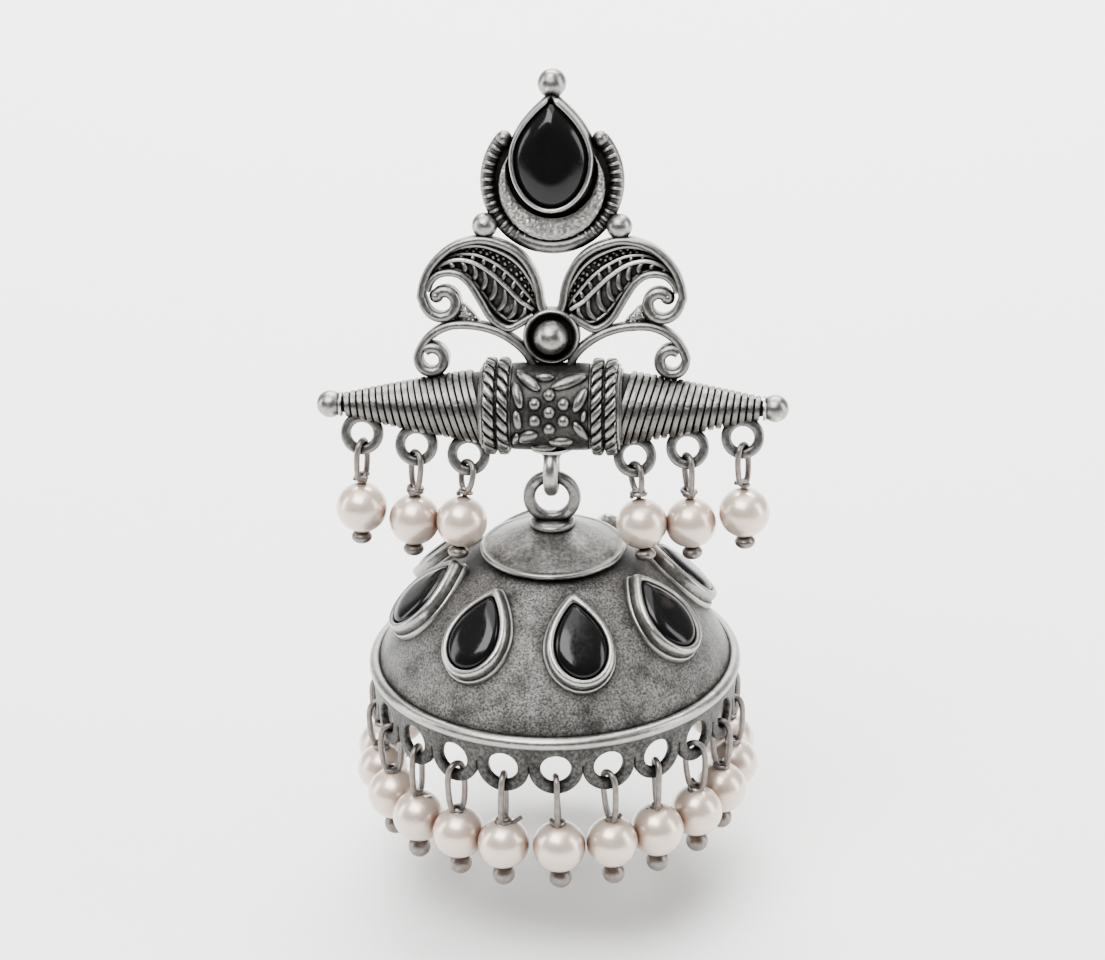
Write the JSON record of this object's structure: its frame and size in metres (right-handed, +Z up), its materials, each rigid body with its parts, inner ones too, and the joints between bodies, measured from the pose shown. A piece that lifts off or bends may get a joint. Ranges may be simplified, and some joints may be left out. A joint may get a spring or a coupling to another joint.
{
  "type": "jhumka earring",
  "caption": "Oxidised silver drop earring: pear stud with leaf scrolls, spindle bar with pearls, and a hanging bell dome with pear stones and a pearl fringe.",
  "frame": {"origin": "foot of the ear post on the flat back, where the earring hangs from the ear", "axes": "+Z up as the earring hangs, the stud's face towards -Y, +X along the bar"},
  "size_m": [0.0366, 0.0334, 0.0588],
  "materials": {
    "oxidised_silver": "oxidised silver, dark in the recesses and worn bright on the edges",
    "black_stone": "polished black stone",
    "pearl": "ivory pink pearl lustre",
    "pin_wire": "dull wire with a pinkish grey tone"
  },
  "bodies": {
    "top": {"top_casting": "oxidised_silver", "stud_stone": "black_stone", "ear_post": "pin_wire", "bar_pin_left_1": "pin_wire", "bar_pin_left_2": "pin_wire", "bar_pin_left_3": "pin_wire", "bar_pin_right_1": "pin_wire", "bar_pin_right_2": "pin_wire", "bar_pin_right_3": "pin_wire", "bar_pearl_left_1": "pearl", "bar_pearl_left_2": "pearl", "bar_pearl_left_3": "pearl", "bar_pearl_right_1": "pearl", "bar_pearl_right_2": "pearl", "bar_pearl_right_3": "pearl"},
    "hanging_dome": {"dome": "oxidised_silver", "dome_cap": "oxidised_silver", "dome_stone_1": "black_stone", "dome_stone_2": "black_stone", "dome_stone_3": "black_stone", "dome_stone_4": "black_stone", "dome_stone_5": "black_stone", "dome_stone_6": "black_stone", "dome_stone_7": "black_stone", "dome_stone_8": "black_stone", "fringe_drop_1": "pearl", "fringe_drop_2": "pearl", "fringe_drop_3": "pearl", "fringe_drop_4": "pearl", "fringe_drop_5": "pearl", "fringe_drop_6": "pearl", "fringe_drop_7": "pearl", "fringe_drop_8": "pearl", "fringe_drop_9": "pearl", "fringe_drop_10": "pearl", "fringe_drop_11": "pearl", "fringe_drop_12": "pearl", "fringe_drop_13": "pearl", "fringe_drop_14": "pearl", "fringe_drop_15": "pearl", "fringe_drop_16": "pearl", "fringe_drop_17": "pearl", "fringe_drop_18": "pearl", "fringe_drop_19": "pearl", "fringe_drop_20": "pearl", "fringe_drop_21": "pearl", "fringe_drop_22": "pearl"}
  },
  "joints": [
    {"name": "dome_swing", "type": "hinge", "parent": "top", "child": "hanging_dome", "pos_m": [0, -0.0069, -0.02186], "axis": [1, 0, 0], "range_deg": [-30, 30]}
  ]
}
